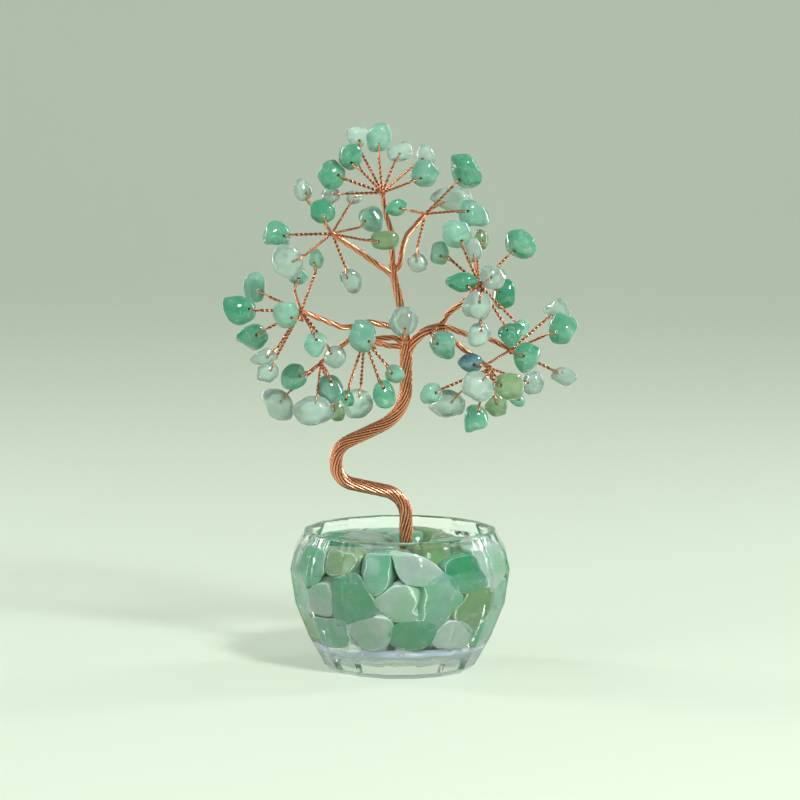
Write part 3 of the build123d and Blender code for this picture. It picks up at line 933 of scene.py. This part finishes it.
def loop_strand(chip, knot, arriving, sizes):
    """One wire: out along the twig, through the chip's hole and back, twisted with itself on the way"""
    outward = (chip.hole - middle_of(chip.points)).normalized()
    tip = chip.hole + outward * sizes.twig_gap
    start = knot - arriving * 3 * MM
    path = rounded_route([tip, knot, start], [2.5 * MM])
    gap = sizes.twig_pitch / 9
    path = even_route(path, gap)
    there, back = [], []
    for k, (point, side, across) in enumerate(frames_along(path, chip.axis)):
        angle = 2 * math.pi * k * (path[1] - path[0]).length / sizes.twig_pitch
        spread = (side * math.cos(angle) + across * math.sin(angle)) * sizes.twig_wire
        there.append(point + spread)
        back.append(point - spread)
    reach = chip.half_depth + 1.6 * sizes.twig_wire
    bend = chip.half_depth + 0.5 * sizes.twig_wire
    loop = [
        there[0],
        chip.hole + outward * 0.45 * sizes.twig_gap + chip.axis * reach * 0.82,
        chip.hole + outward * 0.08 * sizes.twig_gap + chip.axis * reach,
        chip.hole + chip.axis * bend * 0.7,
        chip.hole - chip.axis * bend * 0.7,
        chip.hole + outward * 0.08 * sizes.twig_gap - chip.axis * reach,
        chip.hole + outward * 0.45 * sizes.twig_gap - chip.axis * reach * 0.82,
        back[0],
    ]
    loop = rounded_route(loop, [1.2 * MM] * len(loop))
    whole = list(reversed(there)) + loop[1:-1] + back
    strand = [(point, sizes.twig_wire) for point in whole]
    middle = [(point, 2 * sizes.twig_wire, 0.9 * sizes.twig_wire) for point in path]
    return strand, middle


def twig_mesh(chips, knot, arriving, sizes):
    """All the twigs that leave one knot"""
    strands = []
    spine = []
    for chip in chips:
        strand, middle = loop_strand(chip, knot, arriving, sizes)
        strands.append(strand)
        spine += middle
    mesh = wire_mesh(strands)
    mark_painted_groove_light(mesh, spine)
    return mesh


class GEMTREE_OT_twigs(Operator):
    """Twigs: twisted pairs of thin wire, each looped through its chip's hole"""
    bl_idname = "gemtree.twigs"
    bl_label = "Twigs"

    def execute(self, context):
        sizes = context.scene.gemtree_wire
        for bough in BOUGHS:
            knot = bough.knot()
            arriving = (knot - above_soil(*bough.route[-2])).normalized()
            chips = []
            for tint in TINTS:
                node = f"{bough.name}_{tint}_chips"
                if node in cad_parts:
                    chips += chips_of(node)
            mesh = twig_mesh(chips, knot, arriving, sizes)
            piece = new_piece(f"{bough.name}_twigs", mesh, copper(context), "copper_wire")
            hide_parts(f"{bough.name}_wires")
            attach(piece, bough.body)
        for name, tint, knot in (("fork", "clear", FORK_KNOT), ("limb", "mint", LIMB_KNOT)):
            mesh = twig_mesh(chips_of(f"{name}_{tint}_chips"), above_soil(*knot), Vector((0, -1, 0)), sizes)
            piece = new_piece(f"{name}_twisted_pair", mesh, copper(context), "copper_wire")
            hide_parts(f"{name}_twig")
            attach(piece, "stand")
        return {"FINISHED"}


def random_breaks(chip, count, rng):
    """Directions and shares at which a chip lost a corner, away from its drilled end"""
    outward = (chip.hole - middle_of(chip.points)).normalized()
    across = chip.axis.cross(outward)
    breaks = []
    for _ in range(count):
        turn = rng.uniform(0.5, 1.5) * math.pi
        away = outward * math.cos(turn) + across * math.sin(turn) + chip.axis * rng.uniform(-0.7, 0.7)
        breaks.append((away.normalized(), rng.uniform(0.68, 0.9)))
    return breaks


def keep_below(mesh, top, ease):
    """Eases the points that come near a height, or stand above it, back under it"""
    for vert in mesh.vertices:
        past = vert.co.z - (top - ease)
        if past > 0:
            vert.co.z = top - ease * math.exp(-past / ease)


def drill(mesh, chips, radius):
    """Bores each chip's hole right through the finished stone"""
    bm = bmesh.new()
    for chip in chips:
        turn = chip.axis.to_track_quat("Z", "Y").to_matrix().to_4x4()
        bmesh.ops.create_cone(bm, segments=14, cap_ends=True, radius1=radius, radius2=radius,
                              depth=4 * chip.half_depth, matrix=Matrix.Translation(chip.hole) @ turn)
    bit = bpy.data.objects.new("drill", mesh_of(bm))
    stones = bpy.data.objects.new("stones", mesh)
    for item in (bit, stones):
        bpy.context.scene.collection.objects.link(item)
    cut = stones.modifiers.new("Hole", "BOOLEAN")
    cut.operation = "DIFFERENCE"
    cut.solver = "MANIFOLD"
    cut.object = bit
    drilled = evaluated_mesh(stones)
    for item in (bit, stones):
        bpy.data.objects.remove(item)
    return drilled


class GEMTREE_OT_chips(Operator):
    """Tumbled and drilled stone chips"""
    bl_idname = "gemtree.chips"
    bl_label = "Stone chips"

    def execute(self, context):
        rng = random.Random(8)
        sizes = context.scene.gemtree_chip
        owners = [(bough.name, bough.body) for bough in BOUGHS] + [("fork", "stand"), ("limb", "stand")]
        for owner, body in owners:
            for tint in TINTS:
                node = f"{owner}_{tint}_chips"
                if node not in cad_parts:
                    continue
                chips = chips_of(node)
                breaks = [random_breaks(chip, sizes.breaks, rng) for chip in chips]
                mesh = rounded_stones([chip.points for chip in chips], sizes.swell, spread=0,
                                      wobble=sizes.wobble, sharp=sizes.sharpness, smallest=0.1 * MM,
                                      levels=sizes.rounding, rng=rng, breaks=breaks)
                keep_below(mesh, FRAME_START[1][2], MM)
                mesh = drill(mesh, chips, sizes.hole_radius)
                piece = new_piece(f"tumbled_{node}", mesh, chip_stone(tint, context), SLOTS[tint])
                piece.data.set_sharp_from_angle(angle=math.radians(50))
                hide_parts(node)
                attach(piece, body)
        return {"FINISHED"}


class GEMTREE_OT_stage(Operator):
    """Pale floor, soft lamps and the camera"""
    bl_idname = "gemtree.stage"
    bl_label = "Stage"

    def execute(self, context):
        levels = context.scene.gemtree_stage
        context.scene.view_settings.view_transform = "Standard"

        bm = bmesh.new()
        bmesh.ops.create_grid(bm, x_segments=1, y_segments=1, size=1.5)
        rear = [edge for edge in bm.edges if all(vert.co.y > 1 for vert in edge.verts)]
        raised = bmesh.ops.extrude_edge_only(bm, edges=rear)["geom"]
        bmesh.ops.translate(bm, verts=verts_in(raised), vec=(0, 0, 2))
        bmesh.ops.bevel(bm, geom=rear, offset=0.6, affect="EDGES", segments=16, profile=0.5, material=-1)
        floor = bpy.data.objects.new("floor", mesh_of(bm))
        context.scene.collection.objects.link(floor)
        floor.data.shade_smooth()
        paint = Finish("pale floor", Roughness=0.6, Emission_Strength=1.0)
        shade = paint.noise(3, 2)
        pale = paint.mix(shade, opaque(Vector(levels.floor) * 0.97), opaque(levels.floor))
        seen_through = paint.node("ShaderNodeLightPath", output="Is Transmission Ray")
        mirrored = paint.node("ShaderNodeLightPath", output="Is Glossy Ray")
        straight = paint.node("ShaderNodeLightPath", output="Is Camera Ray")
        lift = 0.3
        glow = seen_through * lift + mirrored * lift + straight * lift
        paint.surface(Base_Color=pale, Emission_Color=paint.mix(glow, opaque(grey(0)), pale))
        floor.data.materials.append(paint.material)
        floor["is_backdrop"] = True

        world = bpy.data.worlds.new("room")
        world.use_nodes = True
        room = world.node_tree.nodes["Background"]
        room.inputs["Color"].default_value = (0.86, 0.92, 0.86, 1)
        room.inputs["Strength"].default_value = levels.world
        context.scene.world = world

        lamps = (
            ("key_lamp", (0.40, -0.60, 0.62), (0.15, 0.15), levels.key),
            ("fill_lamp", (-0.60, -0.50, 0.40), (0.50, 0.50), levels.fill),
            ("left_strip", (-0.55, 0.25, 0.25), (0.08, 0.60), levels.rear),
            ("right_strip", (0.55, 0.25, 0.25), (0.08, 0.60), levels.rear),
        )
        middle = Vector((0, 0, levels.view_height))
        for name, spot, size, power in lamps:
            lamp = bpy.data.lights.new(name, "AREA")
            lamp.shape = "RECTANGLE"
            lamp.size, lamp.size_y = size
            lamp.energy = power
            holder = bpy.data.objects.new(name, lamp)
            holder.location = spot
            holder.rotation_euler = (middle - Vector(spot)).to_track_quat("-Z", "Y").to_euler()
            holder.visible_camera = False
            holder.visible_glossy = name != "fill_lamp"
            context.scene.collection.objects.link(holder)
            holder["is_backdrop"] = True

        lens = bpy.data.cameras.new("camera")
        lens.lens = lens.sensor_width * levels.distance / levels.view_width
        camera = bpy.data.objects.new("camera", lens)
        away = Vector((0, -math.cos(levels.elevation), math.sin(levels.elevation)))
        camera.location = middle + away * levels.distance
        camera.rotation_euler = (-away).to_track_quat("-Z", "Y").to_euler()
        context.scene.collection.objects.link(camera)
        context.scene.camera = camera
        return {"FINISHED"}


class GEMTREE_PT_tree(Panel):
    """Buttons that build the tree"""
    bl_label = "Gemstone tree"
    bl_idname = "GEMTREE_PT_tree"
    bl_space_type = "VIEW_3D"
    bl_region_type = "UI"
    bl_category = "Gemstone tree"

    def draw(self, context):
        for step in STEPS:
            self.layout.operator(step.bl_idname)


SETTINGS = {
    "gemtree_bowl": GEMTREE_PG_bowl,
    "gemtree_wire": GEMTREE_PG_wire,
    "gemtree_chip": GEMTREE_PG_chip,
    "gemtree_finish": GEMTREE_PG_finish,
    "gemtree_stage": GEMTREE_PG_stage,
}
STEPS = (
    GEMTREE_OT_bowl,
    GEMTREE_OT_glue,
    GEMTREE_OT_bowl_stones,
    GEMTREE_OT_trunk,
    GEMTREE_OT_boughs,
    GEMTREE_OT_twigs,
    GEMTREE_OT_chips,
    GEMTREE_OT_stage,
)


def register():
    for kind in (*SETTINGS.values(), *STEPS, GEMTREE_PT_tree):
        bpy.utils.register_class(kind)
    for name, kind in SETTINGS.items():
        setattr(bpy.types.Scene, name, PointerProperty(type=kind))


def unregister():
    for name in SETTINGS:
        delattr(bpy.types.Scene, name)
    for kind in (GEMTREE_PT_tree, *reversed(STEPS), *SETTINGS.values()):
        bpy.utils.unregister_class(kind)


def main():
    register()
    bpy.ops.gemtree.bowl()
    bpy.ops.gemtree.glue()
    bpy.ops.gemtree.bowl_stones()
    bpy.ops.gemtree.trunk()
    bpy.ops.gemtree.boughs()
    bpy.ops.gemtree.twigs()
    bpy.ops.gemtree.chips()
    bpy.ops.gemtree.stage()
    sizes = {"frame": FRAME_START, "finished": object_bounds()}
    plain = {name: [list(corner) for corner in corners] for name, corners in sizes.items()}


if __name__ == "__main__":
    main()
